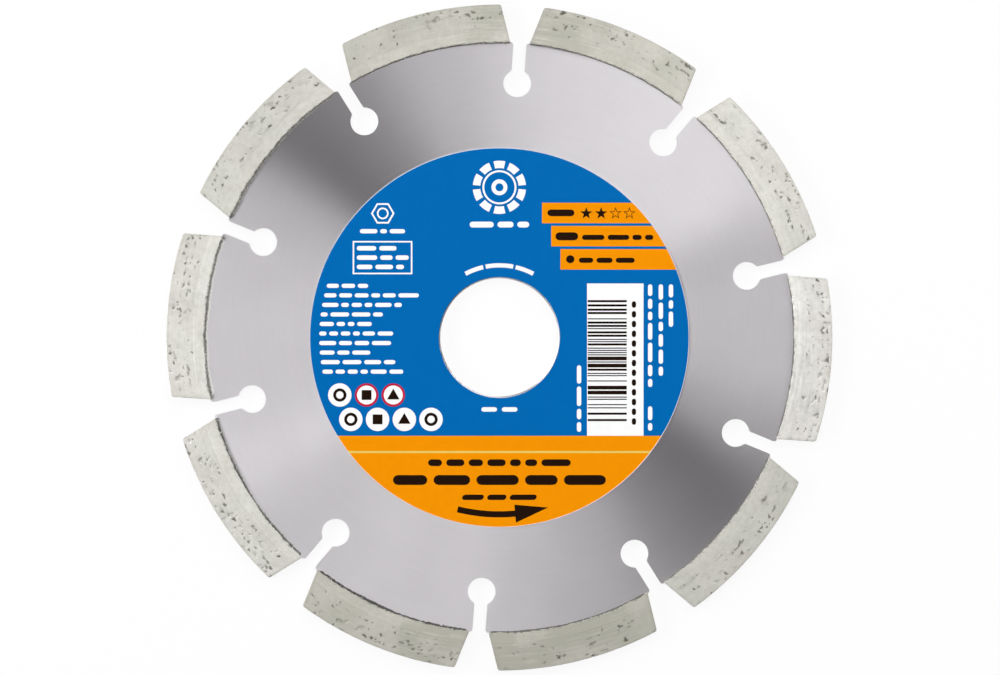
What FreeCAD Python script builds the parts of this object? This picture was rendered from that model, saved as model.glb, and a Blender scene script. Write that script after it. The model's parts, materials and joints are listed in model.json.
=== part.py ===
"""Segmented diamond cutting blade for an angle grinder.

A ground steel core carries ten sintered segments round its rim, with a keyhole slot
between each two. Every segment is a diamond layer on a foot without diamonds, and two
laser welds, one on each side, join the foot to the core. The front has a printed label.

The blade lies flat. Its bore runs along Z, the label faces +Z and reads upright along
+Y, and the origin is on the bore's axis at half the blade's width.
Sizes are in millimetres and angles in degrees.
"""

import FreeCAD, Part
import math
import os

# Overall sizes of the blade
OUTER_DIAMETER = 125.0
BLADE_WIDTH = 2.2  # across a segment
BORE_DIAMETER = 22.23
BORE_CHAMFER = 0.15
SIDE_CLEARANCE = 0.4  # from a segment's side in to the core's face

# Segments and their feet
SEGMENT_COUNT = 10
SEGMENT_HEIGHT = 7.0  # diamond layer and foot together
FOOT_HEIGHT = 2.0
SEGMENT_CORNER_ROUND = 0.4
SEGMENT_EDGE_BREAK = 0.1

# Keyhole slots; the first one's angle is counted from +X
FIRST_SLOT_ANGLE = 14.0
SLOT_WIDTH = 2.44
SLOT_DEPTH = 7.63  # from the core's rim to the centre of the round end
SLOT_HOLE_DIAMETER = 5.24
SLOT_THROAT_ROUND = 0.5
SLOT_LEDGE = 0.62  # bare rim between a slot and the end of a segment
LEDGE_FLAT = 0.1  # the part of that ledge which the slot's mouth leaves unrounded

# Laser welds, in the corner between the core's face and a foot's root
WELD_WIDTH = 0.35
WELD_DEPTH = 0.2  # how far the fused metal reaches below the core's face
WELD_DROP = 0.12  # from a segment's side down to the top of the weld
WELD_END_MARGIN = 0.3

# Label: ink film and its plain areas
PRINT_THICKNESS = 0.08
PRINT_DIAMETER = 71.3
PRINT_BORE_MARGIN = 0.12  # bare steel between the bore's chamfer and the print
BAND_HEIGHT = 17.2  # from the label's lowest point up to the band's top edge
RULE_DROP = 2.85  # from the band's top edge down to the rule
RULE_HEIGHT = 0.4
BAR_COUNT = 3
BAR_DROP = 10.35  # from the label's highest point down to the first bar
BAR_HEIGHT = 3.85
BAR_SPACE = 0.5
BAR_LEFT_X = 8.0
BAR_STEP_X = 1.73  # each bar starts this much further right than the one above
PANEL_DROP = 2.6  # from the last bar down to the panel
PANEL_WIDTH = 10.6
PANEL_EDGE_SPACE = 8.6  # from the panel to the label's rightmost point
SPOT_DIAMETER = 4.4
SPOT_SPACE = 0.62
SPOT_BAND_SPACE = 0.88
SPOT_EDGE_SPACE = 1.6
UPPER_SPOT_COUNT = 3
LOWER_SPOT_COUNT = 4
RINGED_SPOT_COUNT = 2  # the last spots of the upper row wear a ring
RING_WIDTH = 0.42
ARROW_EDGE_SPACE = 2.45  # from the label's edge in to the arrow's middle line
ARROW_TAIL_ANGLE = 256.3
ARROW_NECK_ANGLE = 275.1
ARROW_TIP_ANGLE = 286.0
ARROW_WIDTH = 1.15
ARROW_HEAD_WIDTH = 3.4

# Sizes that follow from the ones above
outer_radius = OUTER_DIAMETER / 2
bore_radius = BORE_DIAMETER / 2
rim_radius = outer_radius - SEGMENT_HEIGHT
foot_top_radius = rim_radius + FOOT_HEIGHT
segment_top = BLADE_WIDTH / 2
core_top = segment_top - SIDE_CLEARANCE
pitch_angle = 360.0 / SEGMENT_COUNT
first_segment_angle = FIRST_SLOT_ANGLE + pitch_angle / 2
slot_half_width = SLOT_WIDTH / 2
slot_hole_radius = SLOT_HOLE_DIAMETER / 2
slot_hole_y = rim_radius - SLOT_DEPTH
mouth_round = SLOT_LEDGE - LEDGE_FLAT
half_gap = slot_half_width + SLOT_LEDGE
segment_half_angle = pitch_angle / 2 - math.degrees(math.asin(half_gap / rim_radius))
segment_half_length = rim_radius * math.sin(math.radians(segment_half_angle))
print_radius = PRINT_DIAMETER / 2
print_bore_radius = bore_radius + BORE_CHAMFER + PRINT_BORE_MARGIN
band_top_y = BAND_HEIGHT - print_radius
rule_top_y = band_top_y - RULE_DROP
bar_top_y = print_radius - BAR_DROP
bar_pitch = BAR_HEIGHT + BAR_SPACE
panel_top_y = bar_top_y - BAR_COUNT * bar_pitch + BAR_SPACE - PANEL_DROP
panel_left_x = print_radius - PANEL_EDGE_SPACE - PANEL_WIDTH
spot_radius = SPOT_DIAMETER / 2
spot_pitch = SPOT_DIAMETER + SPOT_SPACE
arrow_radius = print_radius - ARROW_EDGE_SPACE

UP = FreeCAD.Vector(0, 0, 1)
AXIS_POINT = FreeCAD.Vector(0, 0, 0)


def flat_point(x, y):
    """A point of a flat outline."""
    return FreeCAD.Vector(x, y, 0)


def polar_point(radius, angle):
    """A point of a flat outline, given by its radius and its angle from +X."""
    return flat_point(radius * math.cos(math.radians(angle)), radius * math.sin(math.radians(angle)))


def mirrored(point):
    """The same point on the other side of the Y axis."""
    return flat_point(-point.x, point.y)


def line(start, end):
    """A straight edge."""
    return Part.LineSegment(start, end).toShape()


def arc(centre, start, end):
    """The shorter arc from start to end round a centre."""
    radius = start.distanceToPoint(centre)
    towards = (start - centre) + (end - centre)
    middle = centre + towards.normalize() * radius
    return Part.Arc(start, middle, end).toShape()


def plate(edges, bottom, top):
    """A flat plate with the given outline, between two heights."""
    face = Part.Face(Part.Wire(edges))
    face.translate(FreeCAD.Vector(0, 0, bottom))
    return face.extrude(UP * (top - bottom))


def polygon_plate(points, bottom, top):
    """A flat plate with straight sides, between two heights."""
    edges = [line(start, end) for start, end in zip(points, points[1:] + points[:1])]
    return plate(edges, bottom, top)


def disc(radius, bottom, top, x=0.0, y=0.0):
    """A round plate between two heights."""
    return Part.makeCylinder(radius, top - bottom, FreeCAD.Vector(x, y, bottom), UP)


def turned(shape, angle):
    """A copy of a shape that is drawn round +Y, turned to an angle from +X."""
    copy = shape.copy()
    copy.rotate(AXIS_POINT, UP, angle - 90.0)
    return copy


def slot_cutter():
    """The space of one keyhole slot along +Y, with its round throat and mouth."""
    hole_centre = flat_point(0, slot_hole_y)
    reach = slot_hole_radius + SLOT_THROAT_ROUND
    throat_x = slot_half_width + SLOT_THROAT_ROUND
    throat_centre = flat_point(throat_x, slot_hole_y + math.sqrt(reach**2 - throat_x**2))
    throat_low = hole_centre + (throat_centre - hole_centre) * (slot_hole_radius / reach)
    throat_high = flat_point(slot_half_width, throat_centre.y)

    mouth_x = slot_half_width + mouth_round
    mouth_reach = rim_radius - mouth_round
    mouth_centre = flat_point(mouth_x, math.sqrt(mouth_reach**2 - mouth_x**2))
    mouth_low = flat_point(slot_half_width, mouth_centre.y)
    mouth_high = mouth_centre * (rim_radius / mouth_reach)
    outside = mouth_centre * (outer_radius / mouth_reach)

    edges = [
        Part.Arc(mirrored(throat_low), flat_point(0, slot_hole_y - slot_hole_radius), throat_low).toShape(),
        arc(throat_centre, throat_low, throat_high),
        line(throat_high, mouth_low),
        arc(mouth_centre, mouth_low, mouth_high),
        line(mouth_high, outside),
        line(outside, mirrored(outside)),
        line(mirrored(outside), mirrored(mouth_high)),
        arc(mirrored(mouth_centre), mirrored(mouth_high), mirrored(mouth_low)),
        line(mirrored(mouth_low), mirrored(throat_high)),
        arc(mirrored(throat_centre), mirrored(throat_high), mirrored(throat_low)),
    ]
    return plate(edges, -segment_top, segment_top)


def steel_core():
    """The core: a thin disc with a chamfered bore, keyhole slots and seats for the welds."""
    core = disc(rim_radius, -core_top, core_top)
    cutter = slot_cutter()
    beads = weld_beads()
    for index in range(SEGMENT_COUNT):
        core = core.cut(turned(cutter, FIRST_SLOT_ANGLE + index * pitch_angle))
        core = core.cut(turned(beads, first_segment_angle + index * pitch_angle))
    core = core.cut(disc(bore_radius, -segment_top, segment_top))
    wide_radius = bore_radius + BORE_CHAMFER
    for side in (1, -1):
        chamfer = Part.makeCone(
            bore_radius,
            wide_radius,
            BORE_CHAMFER,
            UP * (side * (core_top - BORE_CHAMFER)),
            UP * side,
        )
        core = core.cut(chamfer)
    return core.removeSplitter()


def whole_segment():
    """Diamond layer and foot as one solid, round +Y, with the ends parallel."""
    root_y = rim_radius * math.cos(math.radians(segment_half_angle))
    root = flat_point(segment_half_length, root_y)
    corner_reach = outer_radius - SEGMENT_CORNER_ROUND
    corner_x = segment_half_length - SEGMENT_CORNER_ROUND
    corner_centre = flat_point(corner_x, math.sqrt(corner_reach**2 - corner_x**2))
    corner_low = flat_point(segment_half_length, corner_centre.y)
    corner_high = corner_centre * (outer_radius / corner_reach)
    edges = [
        arc(AXIS_POINT, mirrored(root), root),
        line(root, corner_low),
        arc(corner_centre, corner_low, corner_high),
        arc(AXIS_POINT, corner_high, mirrored(corner_high)),
        arc(mirrored(corner_centre), mirrored(corner_high), mirrored(corner_low)),
        line(mirrored(corner_low), mirrored(root)),
    ]
    segment = plate(edges, -segment_top, segment_top)
    side_edges = [edge for edge in segment.Edges if edge.BoundBox.ZLength < segment_top]
    return segment.makeChamfer(SEGMENT_EDGE_BREAK, side_edges)


def weld_beads():
    """The two beads of one segment, front and back, round +Y."""
    toe = FreeCAD.Vector(rim_radius - WELD_WIDTH, 0, core_top)
    root = FreeCAD.Vector(rim_radius, 0, core_top - WELD_DEPTH)
    crown = FreeCAD.Vector(rim_radius, 0, segment_top - WELD_DROP)
    section = Part.Face(Part.Wire([line(toe, root), line(root, crown), line(crown, toe)]))
    half_angle = segment_half_angle - math.degrees(WELD_END_MARGIN / rim_radius)
    section.rotate(AXIS_POINT, UP, 90.0 - half_angle)
    front = section.revolve(AXIS_POINT, UP, 2 * half_angle)
    back = front.mirror(AXIS_POINT, UP)
    return Part.makeCompound([front, back])


def label_area(left, right, low, high):
    """A rectangle of the label, cut off where the label ends."""
    corners = [flat_point(left, low), flat_point(right, low), flat_point(right, high), flat_point(left, high)]
    return polygon_plate(corners, core_top, core_top + PRINT_THICKNESS).common(label_disc())


def label_disc():
    """The whole printed ring of the label."""
    label_top = core_top + PRINT_THICKNESS
    return disc(print_radius, core_top, label_top).cut(disc(print_bore_radius, core_top, label_top))


def label_bars():
    """The bars at the upper right, which run out to the label's edge."""
    bars = []
    for index in range(BAR_COUNT):
        top = bar_top_y - index * bar_pitch
        left = BAR_LEFT_X + index * BAR_STEP_X
        bars.append(label_area(left, print_radius, top - BAR_HEIGHT, top))
    return bars


def spot_centres():
    """Centres of the upper and of the lower row, both starting near the label's edge."""
    ring_radius = print_radius - SPOT_EDGE_SPACE - spot_radius
    lower_y = band_top_y + SPOT_BAND_SPACE + spot_radius
    lower_angle = 180.0 - math.degrees(math.asin(lower_y / ring_radius))
    upper_angle = lower_angle - 2 * math.degrees(math.asin(spot_pitch / 2 / ring_radius))
    rows = []
    for angle, count in ((upper_angle, UPPER_SPOT_COUNT), (lower_angle, LOWER_SPOT_COUNT)):
        first = polar_point(ring_radius, angle)
        rows.append([first + flat_point(index * spot_pitch, 0) for index in range(count)])
    return rows


def label_spots():
    """White spots and, round the last ones of the upper row, the rings."""
    label_top = core_top + PRINT_THICKNESS
    upper_row, lower_row = spot_centres()
    ringed = upper_row[len(upper_row) - RINGED_SPOT_COUNT:]
    spots = []
    rings = []
    for centre in upper_row + lower_row:
        whole = disc(spot_radius, core_top, label_top, centre.x, centre.y)
        if centre in ringed:
            inner = disc(spot_radius - RING_WIDTH, core_top, label_top, centre.x, centre.y)
            rings.append(whole.cut(inner))
            spots.append(inner)
        else:
            spots.append(whole)
    return spots, rings


def label_arrow():
    """The arrow that shows the turning direction, bent round the blade's axis."""
    half_width = ARROW_WIDTH / 2
    half_head = ARROW_HEAD_WIDTH / 2
    tail_inner = polar_point(arrow_radius - half_width, ARROW_TAIL_ANGLE)
    tail_outer = polar_point(arrow_radius + half_width, ARROW_TAIL_ANGLE)
    neck_inner = polar_point(arrow_radius - half_width, ARROW_NECK_ANGLE)
    neck_outer = polar_point(arrow_radius + half_width, ARROW_NECK_ANGLE)
    barb_inner = polar_point(arrow_radius - half_head, ARROW_NECK_ANGLE)
    barb_outer = polar_point(arrow_radius + half_head, ARROW_NECK_ANGLE)
    tip = polar_point(arrow_radius, ARROW_TIP_ANGLE)
    edges = [
        line(tail_inner, tail_outer),
        arc(AXIS_POINT, tail_outer, neck_outer),
        line(neck_outer, barb_outer),
        line(barb_outer, tip),
        line(tip, barb_inner),
        line(barb_inner, neck_inner),
        arc(AXIS_POINT, neck_inner, tail_inner),
    ]
    return plate(edges, core_top, core_top + PRINT_THICKNESS)


def label_nodes():
    """Every ink area of the label under its node's name; the areas lie side by side."""
    bars = label_bars()
    spots, rings = label_spots()
    arrow = label_arrow()
    panel = label_area(panel_left_x, panel_left_x + PANEL_WIDTH, band_top_y, panel_top_y)
    rule = label_area(-print_radius, print_radius, rule_top_y - RULE_HEIGHT, rule_top_y)
    whole_band = label_area(-print_radius, print_radius, -print_radius, band_top_y)
    field = label_disc().cut(bars + [panel, whole_band] + spots + rings)
    nodes = {
        "label_field": field,
        "label_band": whole_band.cut([rule, arrow]),
        "label_rule": rule,
        "label_panel": panel,
        "label_arrow": arrow,
    }
    for kind, shapes in (("bar", bars), ("spot", spots), ("ring", rings)):
        for number, shape in enumerate(shapes, start=1):
            nodes[f"label_{kind}_{number}"] = shape
    return nodes


def segment_nodes():
    """The segments, their feet and their welds, one of each at every pitch."""
    whole = whole_segment()
    foot_space = disc(foot_top_radius, -outer_radius, outer_radius)
    foot = whole.common(foot_space)
    layer = whole.cut(foot_space)
    beads = weld_beads()
    nodes = {}
    for index in range(SEGMENT_COUNT):
        angle = first_segment_angle + index * pitch_angle
        number = f"{index + 1:02d}"
        nodes[f"diamond_segment_{number}"] = turned(layer, angle)
        nodes[f"segment_foot_{number}"] = turned(foot, angle)
        nodes[f"weld_beads_{number}"] = turned(beads, angle)
    return nodes


def main():
    """Write one STEP file per node."""
    os.makedirs("parts", exist_ok=True)
    nodes = {"steel_core": steel_core()}
    nodes.update(segment_nodes())
    nodes.update(label_nodes())
    for name, shape in nodes.items():
        shape.exportStep(f"parts/{name}.step")


main()
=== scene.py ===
"""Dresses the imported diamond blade: its finishes, the sintered segments with their grit,
the rough welds and the small print of the label. Lengths are in millimetres in the
blade's own frame, and become metres where a mesh is made. Angles are in degrees.
"""

import json
import math
import random
from collections import namedtuple

import bpy
import numpy as np
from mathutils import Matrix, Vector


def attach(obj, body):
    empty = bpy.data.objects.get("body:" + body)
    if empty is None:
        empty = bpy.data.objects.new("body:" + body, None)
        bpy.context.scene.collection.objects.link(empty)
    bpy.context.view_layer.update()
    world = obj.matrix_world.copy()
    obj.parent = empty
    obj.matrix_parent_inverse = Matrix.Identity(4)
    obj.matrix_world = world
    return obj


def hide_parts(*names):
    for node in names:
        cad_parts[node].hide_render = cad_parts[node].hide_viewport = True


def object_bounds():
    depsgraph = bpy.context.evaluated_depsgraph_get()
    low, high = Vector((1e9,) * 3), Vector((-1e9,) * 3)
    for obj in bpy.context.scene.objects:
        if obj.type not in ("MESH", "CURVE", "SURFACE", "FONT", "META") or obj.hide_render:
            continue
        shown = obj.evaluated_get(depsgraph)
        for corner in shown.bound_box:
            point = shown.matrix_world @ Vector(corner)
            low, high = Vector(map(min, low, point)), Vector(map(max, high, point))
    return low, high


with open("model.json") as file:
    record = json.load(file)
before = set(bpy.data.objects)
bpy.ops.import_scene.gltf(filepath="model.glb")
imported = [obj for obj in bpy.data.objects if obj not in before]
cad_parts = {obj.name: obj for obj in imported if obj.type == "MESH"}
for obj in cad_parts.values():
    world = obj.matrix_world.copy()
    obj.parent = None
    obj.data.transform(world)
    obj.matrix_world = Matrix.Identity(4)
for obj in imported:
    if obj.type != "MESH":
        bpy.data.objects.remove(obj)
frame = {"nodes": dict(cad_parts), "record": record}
cad_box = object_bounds()

MM = 0.001  # metres in a millimetre


def node_points(node):
    """A node's corners in millimetres, one row each."""
    mesh = frame["nodes"][node].data
    flat = np.empty(len(mesh.vertices) * 3, np.float32)
    mesh.vertices.foreach_get("co", flat)
    return flat.reshape(-1, 3).astype(float) / MM


def node_box(node):
    """A node's lowest and highest corner in millimetres."""
    points = node_points(node)
    return points.min(0), points.max(0)


def nodes_named(start):
    """The nodes whose names begin alike, in order."""
    return sorted(name for name in frame["nodes"] if name.startswith(start))


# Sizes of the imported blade
RIM_RADIUS = node_box("steel_core")[1][0]
CORE_TOP = node_box("steel_core")[1][2]
PRINT_TOP = node_box("label_field")[1][2]
PRINT_RADIUS = node_box("label_field")[1][0]
OUTER_RADIUS = cad_box[1][1] / MM
BLADE_TOP = cad_box[1][2] / MM
FLOOR_Z = cad_box[0][2] / MM

# The photograph's framing
FRAME_WIDTH_PX = 1000
BLADE_SCALE_PX = 5.33  # pixels to a millimetre at the segments' upper side
LENS = 100.0
SENSOR_WIDTH = 36.0
CAMERA_X = 0.11


def angles_from(points, angle):
    """How far each point lies round the axis from an angle, between -180 and 180."""
    away = np.degrees(np.arctan2(points[:, 1], points[:, 0])) - angle
    return (away + 180.0) % 360.0 - 180.0


def polar_place(node):
    """The angle from +X of a node's middle, and half its length across that direction."""
    points = node_points(node)
    rough = math.degrees(math.atan2(points[:, 1].mean(), points[:, 0].mean()))
    spread = angles_from(points, rough)
    angle = rough + (spread.min() + spread.max()) / 2
    turn = math.radians(90.0 - angle)
    across = points[:, 0] * math.cos(turn) - points[:, 1] * math.sin(turn)
    return angle, abs(across).max()


# Repeatable noise

# Large factors that stir a cell's place and a seed into a random-looking number
COLUMN_FACTOR = 374761393
ROW_FACTOR = 668265263
SEED_FACTOR = 974634777
STIR_FACTOR = 1274126177
LOW_BITS = 0xFFFF


def lattice(column, row, seed):
    """A repeatable random value from 0 to 1 for each cell of a grid."""
    mixed = column * COLUMN_FACTOR + row * ROW_FACTOR + seed * SEED_FACTOR
    mixed = (mixed ^ (mixed >> 13)) * STIR_FACTOR
    mixed = mixed ^ (mixed >> 16)
    return (mixed & LOW_BITS) / LOW_BITS


def eased(value):
    """A value from 0 to 1, made to start and stop gently."""
    return value * value * (3 - 2 * value)


def noise(x, y, seed):
    """Smooth noise from 0 to 1 with a cell of one unit."""
    column = np.floor(x).astype(np.int64)
    row = np.floor(y).astype(np.int64)
    along = eased(x - column)
    up = eased(y - row)
    low_left = lattice(column, row, seed)
    low_right = lattice(column + 1, row, seed)
    high_left = lattice(column, row + 1, seed)
    high_right = lattice(column + 1, row + 1, seed)
    low = low_left * (1 - along) + low_right * along
    high = high_left * (1 - along) + high_right * along
    return low * (1 - up) + high * up


def line_noise(path, length, seed, level=0.0):
    """Smooth noise along a path, with bumps of about one length."""
    return noise(path / length, np.zeros_like(path) + level, seed)


# Meshes

def make_mesh(name, points, faces, attributes=()):
    """A smooth-shaded object from points in millimetres, with a value per point for shading."""
    mesh = bpy.data.meshes.new(name)
    mesh.from_pydata((np.asarray(points) * MM).tolist(), [], faces)
    mesh.update()
    mesh.polygons.foreach_set("use_smooth", [True] * len(mesh.polygons))
    for label, values in attributes:
        layer = mesh.attributes.new(label, "FLOAT", "POINT")
        layer.data.foreach_set("value", np.asarray(values, np.float32))
    piece = bpy.data.objects.new(name, mesh)
    bpy.context.scene.collection.objects.link(piece)
    return piece


def grid_faces(columns, rows, first, flip=False):
    """Quads of a grid whose points are stored row by row from a first index."""
    index = np.arange(first, first + columns * rows).reshape(rows, columns)
    corners = (index[:-1, :-1], index[:-1, 1:], index[1:, 1:], index[1:, :-1])
    faces = np.stack(corners, axis=-1).reshape(-1, 4)
    return (faces[:, ::-1] if flip else faces).tolist()


def ring_faces(lower, upper):
    """Quads between two closed loops of point indices."""
    pairs = list(zip(lower, upper))
    following = pairs[1:] + pairs[:1]
    return [(here[0], there[0], there[1], here[1]) for here, there in zip(pairs, following)]


def border_of(columns, rows):
    """Indices of a grid's border points, counterclockwise."""
    index = np.arange(columns * rows).reshape(rows, columns)
    sides = (index[0], index[1:, -1], index[-1, -2::-1], index[-2:0:-1, 0])
    return np.concatenate(sides).tolist()


FINE_SHARES = (0.25, 0.55)  # extra points near a free end, as shares of a step


def graded(start, end, step, edge_start, edge_end):
    """Positions from start to end at about one step, closer together near the free ends."""
    count = max(2, round((end - start) / step))
    values = list(np.linspace(start, end, count + 1))
    fine = [step * share for share in FINE_SHARES]
    if edge_start:
        values += [start + value for value in fine]
    if edge_end:
        values += [end - value for value in fine]
    return np.array(sorted(values))


# Sintered segments

BLOCK_STEP = 0.085  # spacing of a segment's surface points
FOOT_STEP = 0.11
EDGE_ROUND = 0.1  # the same as the CAD chamfer, so the solids' outline stays
EDGE_STEPS = 3  # steps of the curve that rounds an edge
CORNER_ROUND = 0.4
FAR = 3.0  # stands for the distance to an edge that isn't free

# Grinding marks on the sides
GRAIN_SIZE = 0.16
GRAIN_HEIGHT = 0.006
STREAK_LENGTH = 4.5
STREAK_WIDTH = 0.25
STREAK_HEIGHT = 0.006
FINE_STREAK_LENGTH = STREAK_LENGTH / 2.3
FINE_STREAK_WIDTH = STREAK_WIDTH / 2.1
FINE_STREAK_SHARE = 0.5
STREAK_LEAST = 0.1  # how strong streaks are at the end that they keep away from
STREAK_MOST = 2.0

# Chipped edges, and painted shade where the rounded edges turn away from the light
CHIP_SIZE = 0.32
CHIP_CONTRAST = 2.2
CHIP_THRESHOLD = 1.1
CHIP_DEPTH = 0.05
CHIP_DARKNESS = 0.45
CHIP_REACH = 0.2
ROOT_CHIP_DEPTH = 0.1
ROOT_SPILL = 0.24
# Length of each wave of the ragged root, and its share
ROOT_WAVES = ((0.9, 0.6), (0.27, 0.4))
EDGE_SHADE_REACH = 0.7  # how far the painted shade of the rounded rim reaches in from the free edges
EDGE_SHADE_DARKNESS = 0.16
EDGE_SHADE_LEAST = 0.5  # its share where the grain is lowest

# Walls round the outline
WALL_RINGS = 9
WALL_ROUGHNESS = 0.05
WALL_GRAIN_SIZE = 0.24
WALL_GRAIN_DEPTH = 0.4  # as a share of a pocket's depth
WALL_GRAIN_DARKNESS = 0.25
POCKET_SIZE = 0.5
POCKET_CONTRAST = 3.0
POCKET_THRESHOLD = 2.0
WALL_FADE = 4 * EDGE_ROUND  # how far down the wall the side's relief dies out

# Pits: how many a segment has, and their sizes; spans are drawn from at random
CHAIN_COUNT = 6
CHAIN_CROWDING = 1.3  # above 1, chains crowd towards the outer edge
CHAIN_LENGTH = (1.6, 4.0)
CHAIN_GAP = (0.45, 1.5)
CHAIN_WANDER = 0.08
CHAIN_PITS = {"scale": (0.6, 1.1), "darkness": (0.5, 0.95), "tailed": 0.3, "ring": 0.0}
LONE_PITS = {"scale": (0.7, 1.3), "darkness": (0.45, 1.0), "tailed": 0.35, "ring": 0.0}
FAINT_PITS = {"scale": (0.4, 1.2), "darkness": (0.12, 0.35), "tailed": 0.4, "ring": 0.0}
# Grains that sit in a pit and leave a ring of shade round them
GRAIN_PITS = {"scale": (1.3, 1.8), "darkness": (0.5, 0.8), "tailed": 0.6, "ring": 0.75}
# How many of each kind are scattered, and the share of the layer's height that they keep above
SCATTERED = ((16, LONE_PITS, 0.0), (34, FAINT_PITS, 0.0), (3, GRAIN_PITS, 0.5))
PIT_RADIUS = (0.13, 0.27)
PIT_DEPTH = (0.04, 0.09)
PIT_STRETCH = (0.75, 1.7)
PIT_MARGIN = 2.2  # how far a pit and its shade reach, in radii
PIT_LOBES = (0.3, 0.2)  # how far its outline departs from a circle, twice and thrice round
PIT_SHADE = 1.5  # where the shade round a pit ends, in radii
PIT_ROOT_GAP = 0.2  # from a layer's root, and from its outer edge, to the first pits
PIT_OUTER_GAP = 0.1
TAIL_LENGTH = (0.5, 2.0)
TAIL_TURNS = (1, 1, -1)  # most tails trail the same way
TAIL_WIDTH = (1.1, 0.5)  # at its start and its end, in the pit's radii
TAIL_RISE = 8.0  # how fast it starts
TAIL_SHARE = 0.4  # how dark the tail of the faintest pit is

Outline = namedtuple("Outline", "inner outer half_length free_inner free_outer seed")


def one_pit(dice, x, y, kind):
    """A pit of a kind at a place, with its random size, shape and tail."""
    scale = dice.uniform(*kind["scale"])
    darkness = dice.uniform(*kind["darkness"])
    tail = dice.uniform(*TAIL_LENGTH) if dice.random() < kind["tailed"] else 0.0
    return {
        "x": x,
        "y": y,
        "radius": dice.uniform(*PIT_RADIUS) * scale,
        "depth": dice.uniform(*PIT_DEPTH) * scale,
        "darkness": darkness,
        "ring": kind["ring"],
        "tail": tail * dice.choice(TAIL_TURNS),
        "lobe": dice.uniform(0.0, 2 * math.pi),
        "stretch": dice.uniform(*PIT_STRETCH),
    }


def make_pits(dice, half_length, low, high, amount):
    """The pits of a layer's side: chains along the grinding lines, then scattered ones."""
    pits = []
    for _ in range(round(CHAIN_COUNT * amount)):
        x = dice.uniform(-half_length, half_length)
        y = low + (high - low) * (1 - dice.random() ** CHAIN_CROWDING)
        end = x + dice.uniform(*CHAIN_LENGTH)
        while x < end:
            pits.append(one_pit(dice, x, y + dice.gauss(0, CHAIN_WANDER), CHAIN_PITS))
            x += dice.uniform(*CHAIN_GAP)
    for count, kind, start in SCATTERED:
        for _ in range(round(count * amount)):
            x = dice.uniform(-half_length, half_length)
            y = dice.uniform(low + (high - low) * start, high)
            pits.append(one_pit(dice, x, y, kind))
    return pits


def pit_window(pit, columns, rows):
    """The part of a grid that a pit and its tail can reach."""
    reach = PIT_MARGIN * pit["radius"]
    left = pit["x"] - reach * pit["stretch"] + min(pit["tail"], 0.0)
    right = pit["x"] + reach * pit["stretch"] + max(pit["tail"], 0.0)
    return (
        slice(*np.searchsorted(rows, (pit["y"] - reach, pit["y"] + reach))),
        slice(*np.searchsorted(columns, (left, right))),
    )


def pit_shape(pit, dx, dy):
    """How deep in a pit each point lies, from 0 outside it to 1 at its bottom."""
    turn = np.arctan2(dy, dx) + pit["lobe"]
    wide, narrow = PIT_LOBES
    edge = pit["radius"] * (1 + wide * np.sin(2 * turn) + narrow * np.sin(3 * turn))
    return eased(np.clip(PIT_SHADE - np.hypot(dx, dy) / edge, 0, 1))


def tail_shape(pit, along, dy):
    """How dark a pit's tail is at each point; along runs from 0 at the pit to 1 at the tip."""
    start_width, end_width = TAIL_WIDTH
    width = pit["radius"] * (start_width - (start_width - end_width) * np.clip(along, 0, 1))
    across = np.exp(-((dy / width) ** 2))
    trail = across * np.clip(along * TAIL_RISE, 0, 1) * np.clip(1 - along, 0, 1)
    return trail * (TAIL_SHARE + (1 - TAIL_SHARE) * pit["darkness"])


def pit_relief(x, radius, pits):
    """Depth, darkness and tail of the pits at each point of a grid of rows and columns."""
    depth = np.zeros_like(x)
    dark = np.zeros_like(x)
    tail = np.zeros_like(x)
    columns = x[len(x) // 2]
    rows = radius[:, 0]
    for pit in pits:
        window = pit_window(pit, columns, rows)
        dx = x[window] - pit["x"]
        dy = radius[window] - pit["y"]
        inside = pit_shape(pit, dx / pit["stretch"], dy)
        filled = np.clip(inside * 2 - 1, 0, 1) * pit["ring"]
        depth[window] = np.maximum(depth[window], pit["depth"] * inside)
        dark[window] = np.maximum(dark[window], inside * pit["darkness"] * (1 - filled))
        if pit["tail"]:
            tail[window] = np.maximum(tail[window], tail_shape(pit, dx / pit["tail"], dy))
    return depth, dark, tail


def root_spill(x, seed):
    """How far the root's ragged edge reaches over the core at each place along it."""
    return ROOT_SPILL * sum(share * line_noise(x, length, seed) for length, share in ROOT_WAVES)


def block_place(along, share, inset, outline):
    """Flat place of outline shares: along runs from -1 to 1 across, share from 0 to 1 outwards."""
    low = outline.inner
    if outline.free_inner:
        low = low + inset - root_spill(along * outline.half_length, outline.seed)
    high = outline.outer
    if outline.free_outer:
        high = high - inset
    radius = low + (high - low) * share
    half = outline.half_length - inset
    if outline.free_outer:
        into_corner = np.clip(radius - (high - CORNER_ROUND), 0, CORNER_ROUND)
        half = half - (CORNER_ROUND - np.sqrt(CORNER_ROUND**2 - into_corner**2))
    x = along * half
    y = np.sqrt(np.maximum(radius**2 - x**2, 0.0))
    return x, y, radius, half, radius - low


def near(distance, reach):
    """1 at an edge, falling to 0 at the reach."""
    return np.clip(1 - distance / reach, 0, 1)


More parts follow.
